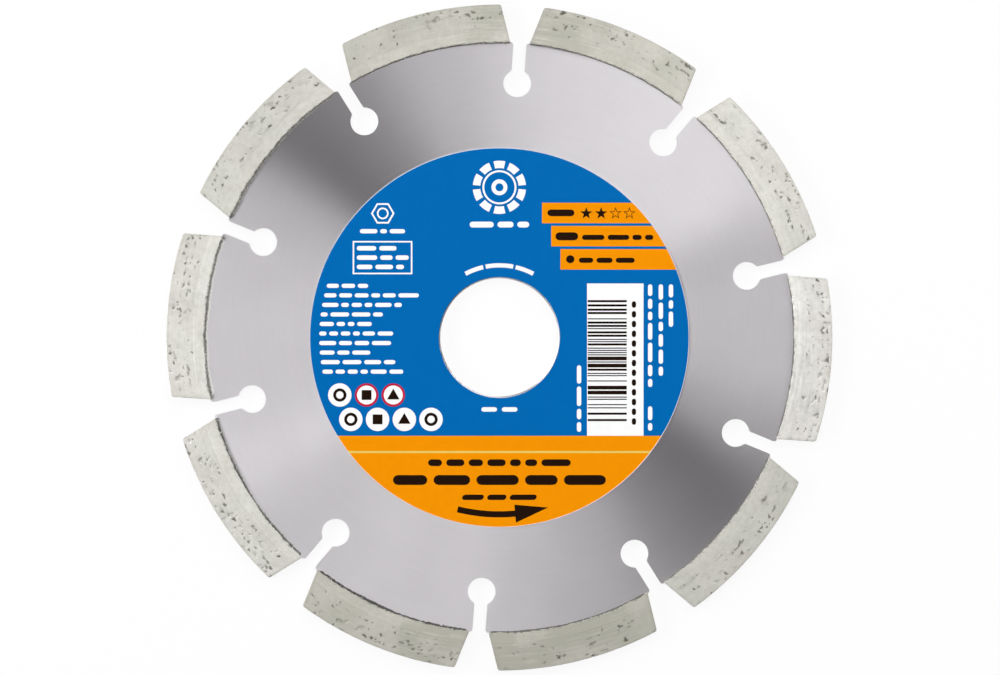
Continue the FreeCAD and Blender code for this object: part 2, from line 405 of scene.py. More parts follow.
def side_relief(x, radius, half, from_root, outline, pits, seed):
    """How far a ground side lies below the blade's own side, with its darkness and streaks."""
    grain = noise(x / GRAIN_SIZE, radius / GRAIN_SIZE, seed)
    streak = noise(x / STREAK_LENGTH, radius / STREAK_WIDTH, seed + 1)
    fine_streak = noise(x / FINE_STREAK_LENGTH, radius / FINE_STREAK_WIDTH, seed + 2)
    streaks = (streak + FINE_STREAK_SHARE * fine_streak) / (1 + FINE_STREAK_SHARE)
    depth, dark, tail = pit_relief(x, radius, pits)
    to_outer = outline.outer - radius if outline.free_outer else FAR
    to_edge = np.minimum(half - abs(x), to_outer)
    to_root = from_root if outline.free_inner else FAR
    chips = noise(x / CHIP_SIZE, radius / CHIP_SIZE, seed + 3)
    chips = np.clip(chips * CHIP_CONTRAST - CHIP_THRESHOLD, 0, 1)
    near_edge = near(to_edge, CHIP_REACH)
    near_root = near(to_root, CHIP_REACH)
    chipped = chips * (CHIP_DEPTH * near_edge + ROOT_CHIP_DEPTH * near_root)
    lowered = GRAIN_HEIGHT * grain + STREAK_HEIGHT * streaks + depth + chipped
    # painted shade: darker towards the free edges, where the rounded rim turns away from the light
    edge_shade = near(to_edge, EDGE_SHADE_REACH) ** 2
    dark = np.maximum(dark, chips * np.maximum(near_edge * CHIP_DARKNESS, near_root))
    dark = np.maximum(dark, EDGE_SHADE_DARKNESS * edge_shade * (EDGE_SHADE_LEAST + grain))
    return lowered, dark, tail, streak


def wall_profile():
    """Inset and height of each ring of a wall, from the upper edge round to the lower one."""
    turns = np.linspace(0.0, math.pi / 2, EDGE_STEPS + 1)[1:-1]
    insets = [EDGE_ROUND * (1 - math.sin(turn)) for turn in turns]
    heights = [BLADE_TOP - EDGE_ROUND * (1 - math.cos(turn)) for turn in turns]
    flat_top = BLADE_TOP - EDGE_ROUND
    upper = list(zip(insets, heights))
    middle = [(0.0, height) for height in np.linspace(flat_top, -flat_top, WALL_RINGS)]
    lower = [(inset, -height) for inset, height in reversed(upper)]
    return upper + middle + lower


def stacked(*values):
    """One row for each point, from grids or rings of values."""
    return np.column_stack([np.ravel(value) for value in values])


def wall_points(outline, along, share, step, reliefs):
    """A rough wall from side to side round a block's outline, given along the border."""
    path = np.arange(len(along)) * step
    rings = []
    for inset, height in wall_profile():
        rough = line_noise(path, WALL_GRAIN_SIZE, outline.seed + 5, height / WALL_GRAIN_SIZE)
        pocket = line_noise(path, POCKET_SIZE, outline.seed + 6, height / POCKET_SIZE)
        pocket = np.clip(pocket * POCKET_CONTRAST - POCKET_THRESHOLD, 0, 1)
        hollow = WALL_ROUGHNESS * (WALL_GRAIN_DEPTH * rough + pocket)
        x, y = block_place(along, share, inset + hollow, outline)[:2]
        relief = reliefs[0] if height > 0 else reliefs[1]
        fade = np.clip((abs(height) - BLADE_TOP + WALL_FADE) / WALL_FADE, 0, 1)
        z = height - math.copysign(1.0, height) * relief * fade
        grit = np.clip(pocket + WALL_GRAIN_DARKNESS * rough, 0, 1)
        rings.append(stacked(x, y, z, grit, np.zeros_like(path), rough))
    return rings


def block_faces(columns, rows, border):
    """Faces of both sides of a block and of the walls between them."""
    grid_size = columns * rows
    ring_points = np.arange(len(wall_profile()) * len(border)) + 2 * grid_size
    rings = ring_points.reshape(-1, len(border)).tolist()
    loops = [border, *rings, [index + grid_size for index in border]]
    faces = grid_faces(columns, rows, 0)
    faces += grid_faces(columns, rows, grid_size, flip=True)
    for upper, lower in zip(loops[:-1], loops[1:]):
        faces += ring_faces(lower, upper)
    return faces


def turned_by(flat, angle):
    """Points turned about the blade's axis."""
    turn = math.radians(angle)
    turned = flat.copy()
    turned[:, 0] = flat[:, 0] * math.cos(turn) - flat[:, 1] * math.sin(turn)
    turned[:, 1] = flat[:, 0] * math.sin(turn) + flat[:, 1] * math.cos(turn)
    return turned


def sintered_block(name, node, inner, outer, step, look, seed, is_foot=False):
    """A closed block with ground relief on both sides and rough walls; a foot has no pits."""
    angle, half_length = polar_place(node)
    outline = Outline(inner, outer, half_length, is_foot, not is_foot, seed)
    dice = random.Random(seed)
    alongs = graded(-half_length, half_length, step, True, True) / half_length
    shares = graded(inner, outer, step, is_foot, not is_foot) - inner
    along, share = np.meshgrid(alongs, shares / (outer - inner))
    x, y, radius, half, from_root = block_place(along, share, EDGE_ROUND, outline)
    border = border_of(len(alongs), len(shares))

    parts = []
    reliefs = []
    low, high = inner + PIT_ROOT_GAP, outer - PIT_OUTER_GAP
    for side in (1, -1):
        pits = [] if is_foot else make_pits(dice, half_length, low, high, look["pits"])
        side_seed = seed + 10 * side
        lowered, dark, tail, streak = side_relief(x, radius, half, from_root, outline, pits, side_seed)
        reliefs.append(lowered.ravel()[border])
        parts.append(stacked(x, y, side * (BLADE_TOP - lowered), dark, tail, streak))
    parts += wall_points(outline, along.ravel()[border], share.ravel()[border], step, reliefs)

    points = np.concatenate(parts)
    flat = points[:, :3]
    grit, tail, streak = points[:, 3:].T
    gathered = 1 + look["lean"] * flat[:, 0] / half_length
    streak = streak * look["streaks"] * np.clip(gathered, STREAK_LEAST, STREAK_MOST)
    # the per-segment paleness is partly painted light: segments are lighter where more light falls
    pale = np.full(len(flat), look["pale"])
    attributes = (("grit", grit), ("tail", tail), ("streak", streak), ("pale", pale))
    faces = block_faces(len(alongs), len(shares), border)
    return make_mesh(name, turned_by(flat, angle - 90.0), faces, attributes)


# Laser welds

BEAD_STEP = 0.1
BEAD_RISE = 0.24
BEAD_SINK = 0.05
BEAD_TAPER = 0.5  # length over which a bead narrows towards its end
BEAD_END_SHARE = 0.15  # how much of its size is left there
BEAD_SECTIONS = 8  # points round a bead's cross-section
HIGHLIGHT_SECTIONS = 2  # how many of them, from the toe, carry the painted highlight
SWELL_LENGTH = 3.5
RIPPLE_LENGTH = 0.23
DROP_LENGTH = 0.8
WIDTH_SHARES = (0.65, 0.6, 0.35)  # the plain, the swelling and the rippled part of its width
RISE_SHARES = (0.5, 0.3, 0.2)  # the plain, the dripping and the rippled part of its height
LUMP_LENGTH = 0.15
LUMP_HEIGHT = 0.03
LUMP_CELLS = 3.0  # how often the lumps change between toe and top


def bead_profile(path, bead_width, seed):
    """Distance and height of each line along a bead, from its toe up to the foot and back down."""
    taper = np.clip(np.minimum(path, path[-1] - path) / BEAD_TAPER, BEAD_END_SHARE, 1)
    swell = line_noise(path, SWELL_LENGTH, seed)
    ripple = line_noise(path, RIPPLE_LENGTH, seed + 7)
    drops = line_noise(path, DROP_LENGTH, seed + 11)
    plain, swelling, rippled = WIDTH_SHARES
    width = bead_width * (plain + swelling * swell + rippled * ripple) * taper
    plain, dripping, rippled = RISE_SHARES
    rise = BEAD_RISE * (plain + dripping * drops + rippled * ripple) * taper
    base = np.full_like(path, CORE_TOP - BEAD_SINK)
    lines = [(RIM_RADIUS - width, base)]
    for section in range(1, BEAD_SECTIONS - 1):
        share = section / (BEAD_SECTIONS - 2)
        lump = LUMP_HEIGHT * line_noise(path, LUMP_LENGTH, seed + 3, share * LUMP_CELLS)
        curve = rise * math.sin(share * math.pi / 2)
        height = CORE_TOP - BEAD_SINK * (1 - share) + curve + lump
        lines.append((RIM_RADIUS - width * (1 - share), height))
    lines.append((np.full_like(path, RIM_RADIUS), base))
    return lines


def bead_faces(first, count, side):
    """Faces of a bead on one side, whose lines are stored one after another."""
    starts = [first + section * count for section in range(BEAD_SECTIONS)]
    ends = [start + count - 1 for start in starts]
    faces = []
    for low, high in zip(starts, starts[1:] + starts[:1]):
        for index in range(count - 1):
            faces.append((high + index, high + index + 1, low + index + 1, low + index))
    faces.append(tuple(starts[::-1]))
    faces.append(tuple(ends))
    return faces if side > 0 else [face[::-1] for face in faces]


def weld_bead(name, node, look, seed):
    """The beads of one segment on both sides, with the drops that a laser leaves."""
    angle = polar_place(node)[0]
    half_angle = abs(angles_from(node_points(node), angle)).max()
    count = round(2 * math.radians(half_angle) * RIM_RADIUS / BEAD_STEP)
    turn = np.radians(np.linspace(angle - half_angle, angle + half_angle, count))
    path = (turn - turn[0]) * RIM_RADIUS
    rows = []
    toe_highlight = []
    faces = []
    for side in (1, -1):
        faces += bead_faces(len(rows) * count, count, side)
        for section, (radius, height) in enumerate(bead_profile(path, look["bead"], seed + side)):
            rows.append(stacked(radius * np.cos(turn), radius * np.sin(turn), side * height))
            # the toe's lines carry a painted highlight: a bright colour where light would glint on the
            # bead
            toe_highlight.append(np.full(count, look["toe_highlight"] if section <= HIGHLIGHT_SECTIONS else 0.0))
    # painted shade: each bead is darkened as a whole, most on the beads at the bottom
    bead_shade = np.full(len(rows) * count, look["bead_shade"])
    attributes = (("toe_highlight", np.concatenate(toe_highlight)), ("bead_shade", bead_shade))
    return make_mesh(name, np.concatenate(rows), faces, attributes)


# Small print of the label, as flat shapes that stand a hair proud of the ink under them

INK_RISE = 0.014
INK_SINK = 0.01
ROUND_STEPS = 5  # steps of a bar's round end
ARC_STEPS = 10
# The dashes of a line of print, in heights of the line
DASH_GAP = 0.62
DASH_LEAST = 1.6
DASH_LENGTH = (1.6, 4.6)


def on_circle(x, y, radius, angle):
    """The point of a circle at an angle."""
    turn = math.radians(angle)
    return x + radius * math.cos(turn), y + radius * math.sin(turn)


def rounded_bar(left, right, middle, height):
    """Outline of a level bar with round ends."""
    radius = min(height, right - left) / 2
    outline = []
    for centre, start in ((right - radius, -90.0), (left + radius, 90.0)):
        for step in range(ROUND_STEPS + 1):
            turn = math.radians(start + 180.0 * step / ROUND_STEPS)
            x = centre + radius * math.cos(turn)
            outline.append((x, middle + height / 2 * math.sin(turn)))
    return outline


def plain_bar(left, right, low, high):
    """Outline of a rectangle."""
    return [(left, low), (right, low), (right, high), (left, high)]


def upright(outline):
    """The outline turned so that what ran to the right runs up."""
    return [(-y, x) for x, y in outline]


def slanted(outline, middle, slope):
    """The outline leaning to the right, about a level line."""
    return [(x + (y - middle) * slope, y) for x, y in outline]


def regular(x, y, radius, corners, start=90.0):
    """Outline of a regular shape; many corners make a circle."""
    return [on_circle(x, y, radius, start + 360.0 * corner / corners) for corner in range(corners)]


def line_round(x, y, outer, inner, corners, start=90.0):
    """A line round a regular shape, as its outer and its inner outline."""
    return regular(x, y, outer, corners, start), regular(x, y, inner, corners, start)


def star(x, y, radius, inner_share=0.4):
    """Outline of a five-pointed star."""
    reaches = (radius, radius * inner_share)
    return [on_circle(x, y, reaches[corner % 2], 90.0 + 36.0 * corner) for corner in range(10)]


def arc(radius, start, end, steps):
    """Points along an arc round the blade's axis."""
    pitch = (end - start) / steps
    return [on_circle(0.0, 0.0, radius, start + pitch * step) for step in range(steps + 1)]


def curved_bar(radius, width, start, end, steps=ARC_STEPS):
    """Outline of a bar bent round the blade's axis."""
    outer = arc(radius + width / 2, start, end, steps)
    inner = arc(radius - width / 2, start, end, steps)
    return outer + inner[::-1]


def dash_row(left, right, middle, height, dice, length=DASH_LENGTH):
    """Bars of uneven length that fill a line, with gaps between them."""
    gap = height * DASH_GAP
    bars = []
    start = left
    while right - start > height:
        end = start + height * dice.uniform(*length)
        if right - end < height * DASH_LEAST + gap:
            end = right
        bars.append(rounded_bar(start, end, middle, height))
        start = end + gap
    return bars


def print_ink(name, node, slot, material, shapes=(), frames=()):
    """One piece of print from filled outlines and from pairs of an outer and an inner outline."""
    top = PRINT_TOP + INK_RISE
    bottom = PRINT_TOP - INK_SINK
    points = []
    faces = []

    def add_loop(outline, height):
        first = len(points)
        points.extend((x, y, height) for x, y in outline)
        return list(range(first, len(points)))

    for outline in shapes:
        low = add_loop(outline, bottom)
        high = add_loop(outline, top)
        faces.extend(ring_faces(low, high))
        faces.append(tuple(high))
        faces.append(tuple(low[::-1]))
    for outer, inner in frames:
        outer_low, outer_high = add_loop(outer, bottom), add_loop(outer, top)
        inner_low, inner_high = add_loop(inner, bottom), add_loop(inner, top)
        faces.extend(ring_faces(outer_low, outer_high))
        faces.extend(ring_faces(inner_high, inner_low))
        faces.extend(ring_faces(outer_high, inner_high))
        faces.extend(ring_faces(inner_low, outer_low))
    piece = make_mesh(name, points, faces)
    piece.data.polygons.foreach_set("use_smooth", [False] * len(piece.data.polygons))
    dress(piece, material)
    return piece


def dress(piece, material):
    """Give a new piece its material and its body."""
    piece.data.materials.append(material)
    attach(piece, "root")


# Where the white print lies on the label; a row is its left, right, middle and height

WHITE_SEED = 11
EDGE_MARGIN = 1.8  # from the label's edge to the left column
COLUMN_TOP_Y = 9.7
COLUMN_PITCH = 1.79
COLUMN_BAR = 0.78
COLUMN_LENGTHS = (7.8, 17.8, 15.0, 11.7, 9.8, 13.9, 13.5, 9.5, 14.0, 15.2)
SIGN_Y = 28.2
SIGN_TEETH = 10
TOOTH = (4.3, 1.4)  # the radius at its middle, and its height
TOOTH_GAP = 10.0  # degrees between teeth
TOOTH_STEPS = 5
SIGN_RING = (3.2, 2.85)  # outer and inner radius of each round line
SIGN_HUB = (1.5, 0.75)
UNDER_SIGN = (-5.6, 5.6, 21.2, 1.1)
NUT_PLACE = (-21.9, 23.3)
NUT_LINE = (2.2, 1.85)
NUT_HOLE = (1.1, 0.8)
UNDER_NUT = (-26.2, -17.7, 19.95, 0.8)
PLATE = (-27.54, -16.34, 11.88, 18.12)  # left, right, low and high side of the outlined box
PLATE_LINE = 0.28
PLATE_TEXT_LEFT = -26.79
PLATE_TEXT_ENDS = (-19.3, -17.0, -17.9)
PLATE_TEXT_TOP = 16.75
PLATE_TEXT_PITCH = 1.75
PLATE_TEXT_HEIGHT = 0.85
BORE_ARC = (13.55, 0.8)  # radius and width
BORE_ARC_SPANS = ((62, 77), (79, 101), (103, 118))
BELOW_BORE = ((-3.4, -0.45, -13.5, 0.85), (0.45, 3.4, -13.5, 0.85))
# Lines of print that run up: how far right each stands, and its low and high end
UPRIGHT_LINES = (
    (28.3, -9.3, 10.0),
    (28.3, -17.5, -12.9),
    (30.3, -7.2, 10.0),
    (32.2, 2.0, 10.0),
    (14.95, -17.7, -5.2),
)
UPRIGHT_HEIGHT = 0.82
RIM_LINE = (0.01, 0.1)  # the label's pale cut edge, from its outline inwards
RIM_CORNERS = 240


def left_column(dice):
    """A column of dashes whose lines begin along the label's round edge."""
    bars = []
    for line, length in enumerate(COLUMN_LENGTHS):
        y = COLUMN_TOP_Y - line * COLUMN_PITCH
        left = -math.sqrt((PRINT_RADIUS - EDGE_MARGIN) ** 2 - y**2)
        bars += dash_row(left, left + length, y, COLUMN_BAR, dice)
    return bars


def sign_teeth():
    """The teeth of the plain disc at the top of the label."""
    pitch = 360.0 / SIGN_TEETH
    teeth = []
    for tooth in range(SIGN_TEETH):
        start = pitch * tooth + TOOTH_GAP / 2
        end = start + pitch - TOOTH_GAP
        bent = curved_bar(*TOOTH, start, end, TOOTH_STEPS)
        teeth.append([(x, y + SIGN_Y) for x, y in bent])
    return teeth


def plate_rows(dice):
    """The dashes in the outlined box."""
    bars = []
    for line, end in enumerate(PLATE_TEXT_ENDS):
        y = PLATE_TEXT_TOP - line * PLATE_TEXT_PITCH
        bars += dash_row(PLATE_TEXT_LEFT, end, y, PLATE_TEXT_HEIGHT, dice)
    return bars


def plate_border():
    """The line of the outlined box, as its outer and its inner outline."""
    left, right, low, high = PLATE
    inner = (left + PLATE_LINE, right - PLATE_LINE, low + PLATE_LINE, high - PLATE_LINE)
    return plain_bar(*PLATE), plain_bar(*inner)


def white_print(white):
    """White marks on the blue field: dashes for lines of print, a sign, and a nut."""
    dice = random.Random(WHITE_SEED)
    ink = ("label_field", "ink_white", white)
    print_ink("print_left_column", *ink, left_column(dice))

    rings = [line_round(0, SIGN_Y, *SIGN_RING, 48), line_round(0, SIGN_Y, *SIGN_HUB, 32)]
    print_ink("print_disc_sign", *ink, sign_teeth(), rings)
    print_ink("print_under_sign", *ink, dash_row(*UNDER_SIGN, dice))

    nut = [line_round(*NUT_PLACE, *NUT_LINE, 6, 0.0), line_round(*NUT_PLACE, *NUT_HOLE, 28)]
    print_ink("print_nut_sign", *ink, dash_row(*UNDER_NUT, dice), nut)
    print_ink("print_outlined_box", *ink, plate_rows(dice), [plate_border()])

    arcs = [curved_bar(*BORE_ARC, *span) for span in BORE_ARC_SPANS]
    print_ink("print_above_bore", *ink, arcs)
    print_ink("print_below_bore", *ink, [rounded_bar(*row) for row in BELOW_BORE])

    columns = []
    for x, low, high in UPRIGHT_LINES:
        columns += [upright(bar) for bar in dash_row(low, high, -x, UPRIGHT_HEIGHT, dice)]
    print_ink("print_upright_lines", *ink, columns)

    edges = [PRINT_RADIUS - inset for inset in RIM_LINE]
    print_ink("print_edge_line", *ink, (), [line_round(0, 0, *edges, RIM_CORNERS)])


# Where the dark print lies on the label

DARK_SEED = 23
STAR_NAME = (9.0, 14.1, 23.4, 1.25)  # the dashes before the row of stars
STAR_NAME_LENGTH = (1.2, 2.2)
STAR_PLACES = (16.3, 19.1, 21.8, 24.4)
STAR_Y = 23.3
STAR_RADIUS = 1.2
STAR_LINE_SHARE = 0.72
FILLED_STARS = 2
# The other bars' marks: a bold bar, then a row of dashes
BAR_MARKS = (
    ((10.5, 14.8, 19.0, 1.5), (15.5, 28.9, 18.8, 0.95)),
    ((12.5, 14.1, 14.7, 1.5), (14.9, 25.4, 14.5, 0.95)),
)
# Rows on the band, each with the shortest and longest of its dashes and how far they lean
BAND_ROWS = (
    ((-13.4, 13.4, -23.5, 1.25), (1.6, 4.2), 0.0),
    ((-20.0, 20.0, -26.75, 1.85), (2.4, 5.0), 0.0),
    ((-7.0, 7.0, -30.0, 1.0), (2.2, 4.6), 0.25),
)
LADDER_SEED = 5
LADDER_LOW = -15.7
LADDER_HIGH = 6.9
LADDER_MARGIN = 0.12
LADDER_RIGHT = 23.9
LADDER_BARS = (0.2, 0.2, 0.4, 0.7)  # widths of the plain lines on the white panel
LADDER_GAPS = (0.22, 0.4, 0.8)
PANEL_MARKS = 13
PANEL_MARK = (-16.4, -15.15, -25.25, 0.8)  # the lowest one, as a row that is turned upright
PANEL_MARK_PITCH = 1.83
# The white spots carry a ring, a square and a triangle in turn
SPOT_RING = (1.25, 0.7)
SPOT_SQUARE = 1.3
SPOT_TRIANGLE = 1.35
SPOT_TRIANGLE_DROP = 0.15


def bar_marks(dice):
    """The marks on the orange bars, and the stars that are drawn as a line only."""
    marks = dash_row(*STAR_NAME, dice, STAR_NAME_LENGTH)
    open_stars = []
    for number, x in enumerate(STAR_PLACES):
        outline = star(x, STAR_Y, STAR_RADIUS)
        if number < FILLED_STARS:
            marks.append(outline)
        else:
            open_stars.append((outline, star(x, STAR_Y, STAR_RADIUS * STAR_LINE_SHARE)))
    for bold, row in BAR_MARKS:
        marks.append(rounded_bar(*bold))
        marks += dash_row(*row, dice)
    return marks, open_stars


def panel_marks():
    """An uneven ladder of plain lines that stands for nothing, with a column of marks beside it."""
    dice = random.Random(LADDER_SEED)
    left = node_box("label_panel")[0][0] + LADDER_MARGIN
    marks = []
    y = LADDER_LOW
    while y < LADDER_HIGH:
        bar = dice.choice(LADDER_BARS)
        marks.append(plain_bar(left, LADDER_RIGHT, y, y + bar))
        y += bar + dice.choice(LADDER_GAPS)
    for mark in range(PANEL_MARKS):
        bar = upright(rounded_bar(*PANEL_MARK))
        marks.append([(x, y + mark * PANEL_MARK_PITCH) for x, y in bar])
    return marks


def spot_marks():
    """A plain mark on each white spot: filled ones, and rings."""
    marks = []
    rings = []
    for number, node in enumerate(nodes_named("label_spot_")):
        low, high = node_box(node)
        x, y = (low[0] + high[0]) / 2, (low[1] + high[1]) / 2
        if number % 3 == 0:
            rings.append(line_round(x, y, *SPOT_RING, 32))
        elif number % 3 == 1:
            marks.append(regular(x, y, SPOT_SQUARE, 4, 45.0))
        else:
            marks.append(regular(x, y - SPOT_TRIANGLE_DROP, SPOT_TRIANGLE, 3))
    return marks, rings


def dark_print(dark):
    """Dark marks on the orange bars, the band, the white panel and the white spots."""
    dice = random.Random(DARK_SEED)
    print_ink("print_on_bars", "label_bar_1", "ink_black", dark, *bar_marks(dice))

    rows = []
    for row, length, lean in BAND_ROWS:
        rows += [slanted(bar, row[2], lean) for bar in dash_row(*row, dice, length)]
    print_ink("print_on_band", "label_band", "ink_black", dark, rows)
    print_ink("print_on_panel", "label_panel", "ink_black", dark, panel_marks())
    print_ink("print_on_spots", "label_spot_1", "ink_black", dark, *spot_marks())


# Materials; a noise is given by its cells to a metre and its detail, and a relief by its
# strength and its depth in millimetres

NOISE_SPAN = (0.3, 0.7)  # where nearly all values of a noise lie
NARROW_SPAN = (0.35, 0.65)

STEEL_DARK = (0.80, 0.77, 0.80)
STEEL_LIGHT = (0.86, 0.83, 0.86)
STEEL_ROUGHNESS = (0.45, 0.008)  # its middle, and how far it spreads to both sides
STEEL_ANISOTROPY = 1.0
STEEL_FINE_LINES = (0.09 * MM, 9.0, 2.0)  # width, changes round the axis, and detail
STEEL_WIDE_LINES = (0.55 * MM, 5.0, 3.0)
STEEL_FINE_SHARE = 0.6
STEEL_CLOUD = (60.0, 3.0)
STEEL_LINE_TONE = 0.3
STEEL_CLOUD_TONE = 0.7
STEEL_RELIEF = (0.2, 0.004)
GRIND_CENTRE = (3.5, 3.5)  # the grinding lines run round a point beside the axis

# SINTER_OLIVE to SINTER_PALE, picked per segment by its paleness: partly the metal's own tone, partly
# painted light
SINTER_PALE = (0.905, 0.895, 0.853)
SINTER_OLIVE = (0.525, 0.517, 0.445)
SINTER_BLUSH = (0.76, 0.71, 0.67)
SINTER_BLUSH_SHARE = 0.3
SINTER_DARK = (0.42, 0.41, 0.35)
SINTER_SHADE = 0.6  # how much of the dark tone the dullest patches take
SINTER_LIGHTNESS = 0.95
FOOT_LIGHTNESS = 1.0
PIT_COLOUR = (0.10, 0.10, 0.075)
TAIL_DARKNESS = 0.5
SINTER_METALLIC = 0.35
SINTER_ROUGHNESS = (0.6, 0.04)
SINTER_ANISOTROPY = 0.5
SINTER_PATCHES = (230.0, 2.0)
SINTER_BLUSHES = (140.0, 1.0)
SINTER_MOTTLE = (950.0, 3.0, 0.6)
SINTER_SPECKS = (3600.0, 2.0)
SINTER_RELIEF = (0.3, 0.01)
BLUSH_SPAN = (0.38, 0.62)
PATCH_SHARE = 0.45  # the patches' share of the tone, which they have with the mottle
TONE_SPAN = (0.2, 0.62)
SPECK_SPAN = (0.5, 0.75)
SPECK_DARKNESS = 0.12
STREAK_MIDDLE = 0.3  # a streak value that leaves the tone as it is
STREAK_TONE = 0.3
STREAK_FADE = (0.4, 0.6, 0.8, 0.15)  # streaks are weaker where the metal blushes

WELD_DARK = (0.17, 0.165, 0.15)
WELD_LIGHT = (0.42, 0.41, 0.38)
# painted shade: the near black towards which whole beads are darkened
WELD_PAINTED_SHADE = (0.035, 0.033, 0.032)
# bright colour of the real flecks, and also of the painted highlight on a bead's toe
WELD_FLECK_AND_HIGHLIGHT = (0.85, 0.84, 0.80)
WELD_TONES = (3200.0, 3.0)
WELD_FLECKS = (2100.0, 1.0)
WELD_FLECK_SPAN = (0.66, 0.72)
WELD_FLECK_SHARE = 0.8
WELD_METALLIC = 0.3
WELD_ROUGHNESS = 0.6
WELD_RELIEF = (0.6, 0.03)

INK_LINES = (0.25 * MM, 7.0, 2.0)
INK_CLOUD = (700.0, 3.0)
INK_ROUGHNESS = (0.42, 0.5)
INK_RELIEF = (0.25, 0.004)
INK_GLOSS = 0.03
# Colour of each ink, and how dark its darker patches are as a share of it
INKS = {
    "blue": ((0.0003, 0.129, 0.418), 0.975),
    "orange": ((0.855, 0.278, 0.0004), 0.975),
    "cream": ((0.76, 0.56, 0.115), 0.975),
    "white": ((0.93, 0.93, 0.93), 0.97),
    "red": ((0.50, 0.015, 0.046), 0.975),
    "black": ((0.014, 0.006, 0.003), 0.975),
}

# How each segment looks, counterclockwise from the first: how pale its metal is, partly its own tone
# and partly painted light, how strong its streaks are and to which end they gather, its share of pits,
# then its bead's width, how much painted shade darkens the bead and how bright the painted highlight
# on its toe is
LOOK_NAMES = ("pale", "streaks", "lean", "pits", "bead", "bead_shade", "toe_highlight")
LOOKS = (
    (0.62, 0.4, 0.0, 1.0, 0.22, 0.2, 0.0),
    (0.15, 2.0, -1.0, 0.8, 0.18, 0.1, 0.0),
    (0.20, 1.0, 1.0, 0.6, 0.24, 0.3, 0.0),
    (0.53, 0.4, 0.0, 1.0, 0.60, 0.2, 0.2),
    (0.66, 0.5, 0.3, 1.1, 0.72, 0.1, 1.0),
    (0.62, 0.5, 0.0, 1.2, 0.50, 0.8, 0.3),
    (0.08, 2.0, -0.8, 1.0, 0.48, 0.9, 0.0),
    (0.04, 4.4, 1.0, 0.5, 0.32, 0.7, 0.0),
    (0.47, 0.6, 0.0, 0.7, 0.22, 0.5, 0.0),
    (1.00, 1.1, 0.4, 1.2, 0.18, 0.3, 0.0),
)
LAYER_SEED = 100
WELD_SEED = 300

# Sockets of a Mix node that mixes colours
MIX_FACTOR = 0
MIX_FIRST = 6
MIX_SECOND = 7
MIX_RESULT = 2


class Shader:
    """A material or a world whose nodes are added by one short call each."""

    def __init__(self, name, kind=bpy.data.materials):
        self.owner = kind.new(name)
        self.owner.use_nodes = True
        self.tree = self.owner.node_tree
        self.tree.nodes.clear()

    def add(self, kind, inputs=(), **settings):
        """Add a node, set or link its inputs, and return its first output."""
        node = self.tree.nodes.new(kind)
        for key, value in settings.items():
            setattr(node, key, value)
        for key, value in dict(inputs).items():
            if isinstance(value, bpy.types.NodeSocket):
                self.tree.links.new(value, node.inputs[key])
            else:
                node.inputs[key].default_value = value
        return node.outputs[0] if node.outputs else None

    def math(self, operation, *values):
        """A Math node."""
        return self.add("ShaderNodeMath", enumerate(values), operation=operation)

    def vector(self, operation, *values):
        """A Vector Math node."""
        return self.add("ShaderNodeVectorMath", enumerate(values), operation=operation)

    def noise(self, scale, detail, roughness=0.5, vector=None):
        """The value of a Noise Texture, over the blade if no vector is given."""
        inputs = {"Vector": vector or self.place(), "Scale": scale}
        return self.add("ShaderNodeTexNoise", {**inputs, "Detail": detail, "Roughness": roughness})

    def span(self, value, low, high, new_low, new_high):
        """Map a value from one span to another, held at both ends."""
        inputs = {"Value": value, "From Min": low, "From Max": high}
        return self.add("ShaderNodeMapRange", {**inputs, "To Min": new_low, "To Max": new_high})

    def blend(self, value, span, share, first, second):
        """Mix two colours, up to a share of the second as a value rises through a span."""
        return self.mix(self.span(value, *span, 0.0, share), first, second)

    def around(self, value, span, middle, spread):
        """Map a value from a span to a spread on both sides of a middle."""
        return self.span(value, *span, middle - spread, middle + spread)

    def relief(self, height, strength, depth):
        """Normals that follow a height, over a depth in millimetres."""
        inputs = {"Height": height, "Strength": strength, "Distance": depth * MM}
        return self.add("ShaderNodeBump", inputs)

    def mix(self, factor, first, second):
        """Mix two colours."""
        inputs = {MIX_FACTOR: factor, MIX_FIRST: first, MIX_SECOND: second}
        for place, value in inputs.items():
            if isinstance(value, tuple):
                inputs[place] = (*value, 1.0)
        mixed = self.add("ShaderNodeMix", inputs, data_type="RGBA")
        return mixed.node.outputs[MIX_RESULT]

    def attribute(self, name):
        """The value that a mesh stores at its points."""
        return self.add("ShaderNodeAttribute", attribute_name=name).node.outputs["Fac"]

    def place(self):
        """Position in the blade's frame, in metres."""
        return self.add("ShaderNodeTexCoord").node.outputs["Object"]

    def finish(self, **inputs):
        """Close the tree with a Principled shader and return the material."""
        named = {key.replace("_", " "): value for key, value in inputs.items()}
        surface = self.add("ShaderNodeBsdfPrincipled", named)
        self.add("ShaderNodeOutputMaterial", {"Surface": surface})
        return self.owner


def turning(shader, centre=(0.0, 0.0)):
    """The direction out from a centre in millimetres, and the distance from it."""
    offset = (centre[0] * MM, centre[1] * MM, 0.0)
    moved = shader.vector("SUBTRACT", shader.place(), offset)
    flat = shader.vector("MULTIPLY", moved, (1.0, 1.0, 0.0))
    outward = shader.vector("NORMALIZE", flat)
    return outward, shader.vector("LENGTH", flat).node.outputs["Value"]


def ring_lines(shader, outward, radius, line_width, changes, detail):
    """Noise in ring-shaped lines of a width in metres, which change as they go round."""
    across = shader.math("DIVIDE", radius, line_width)
    lift = shader.add("ShaderNodeCombineXYZ", {"Z": across})
    round_about = shader.vector("SCALE", outward)
    round_about.node.inputs["Scale"].default_value = changes
    return shader.noise(1.0, detail, vector=shader.vector("ADD", round_about, lift))


